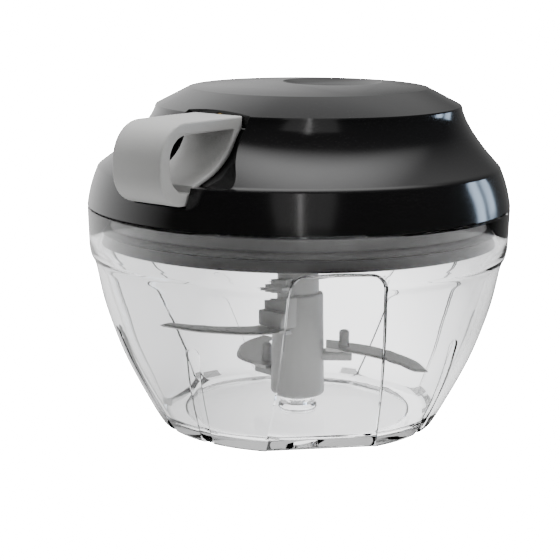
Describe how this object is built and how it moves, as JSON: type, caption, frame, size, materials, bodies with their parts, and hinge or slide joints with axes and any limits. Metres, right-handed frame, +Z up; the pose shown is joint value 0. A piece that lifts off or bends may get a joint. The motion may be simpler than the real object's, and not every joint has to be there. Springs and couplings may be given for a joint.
{
  "type": "manual food chopper",
  "caption": "Round manual food chopper: clear bowl, black lid with a docked D-shaped pull handle, recoil reel and three sickle blades on a spindle.",
  "frame": {"origin": "on the bowl's axis, in the plane of the bowl's flat base", "axes": "+Z up along the spindle, -Y the way the pull handle points and is pulled, +X to the right seen from the handle's side"},
  "size_m": [0.13, 0.1375, 0.1035],
  "materials": {
    "clear_plastic": "clear, polished",
    "black_plastic": "gloss black",
    "dark_plastic": "dark grey, smooth",
    "light_plastic": "light grey, satin",
    "grey_plastic": "mid grey, satin",
    "white_plastic": "natural white",
    "silicone": "matt",
    "blade_steel": "brushed",
    "steel": "plain",
    "brass": "plain",
    "cord_fibre": "braided"
  },
  "bodies": {
    "bowl": {"bowl": "clear_plastic", "pivot_pin": "steel", "thrust_washer": "steel"},
    "blades": {"blade_spindle": "grey_plastic", "blade_lower": "blade_steel", "blade_middle": "blade_steel", "blade_upper": "blade_steel"},
    "lid": {"top_cover": "black_plastic", "lid_base": "dark_plastic", "lid_seal": "silicone", "hub_bush": "white_plastic", "bearing_plate": "dark_plastic", "cord_eyelet": "brass", "cord_lead": "cord_fibre", "recoil_spring": "steel", "spring_cover": "dark_plastic", "reel_axle": "steel", "axle_washer": "steel", "plate_screw_1": "steel", "plate_screw_2": "steel", "plate_screw_3": "steel", "plate_screw_4": "steel", "base_screw_1": "steel", "base_screw_2": "steel", "base_screw_3": "steel", "base_screw_4": "steel", "base_screw_5": "steel", "base_screw_6": "steel"},
    "handle": {"pull_handle": "light_plastic", "pull_cord": "cord_fibre"},
    "reel": {"reel": "white_plastic", "cord_winding": "cord_fibre", "pawl_pin_1": "steel", "pawl_pin_2": "steel"},
    "pawl_1": {"pawl_1": "steel"},
    "pawl_2": {"pawl_2": "steel"},
    "drive": {"drive_hub": "white_plastic"}
  },
  "joints": [
    {"name": "lid_lift", "type": "slide", "parent": "bowl", "child": "lid", "axis": [0, 0, 1], "range_m": [0, 0.12]},
    {"name": "handle_pull", "type": "slide", "parent": "lid", "child": "handle", "axis": [0, -1, 0], "range_m": [0, 0.3], "stiffness_N_per_m": 12, "springref_m": -0.08},
    {"name": "reel_spin", "type": "hinge", "parent": "lid", "child": "reel", "pos_m": [0, 0, 0.0965], "axis": [0, 0, 1], "range_deg": [0, 672], "deforming": ["cord_winding"]},
    {"name": "drive_spin", "type": "hinge", "parent": "lid", "child": "drive", "pos_m": [0, 0, 0.0778], "axis": [0, 0, 1], "range_deg": [0, 672]},
    {"name": "blade_spin", "type": "hinge", "parent": "bowl", "child": "blades", "pos_m": [0, 0, 0.02], "axis": [0, 0, 1], "range_deg": [0, 672]},
    {"name": "pawl_1_lift", "type": "hinge", "parent": "reel", "child": "pawl_1", "pos_m": [0.01259, 0.00458, 0.0905], "axis": [0, 0, -1], "range_deg": [0, 12]},
    {"name": "pawl_2_lift", "type": "hinge", "parent": "reel", "child": "pawl_2", "pos_m": [-0.01259, -0.00458, 0.0905], "axis": [0, 0, -1], "range_deg": [0, 12]}
  ],
  "couplings": [
    {"joint": "reel_spin", "follows": "handle_pull", "rad_per_m": 38.9},
    {"joint": "drive_spin", "follows": "handle_pull", "rad_per_m": 38.9},
    {"joint": "blade_spin", "follows": "handle_pull", "rad_per_m": 38.9}
  ]
}
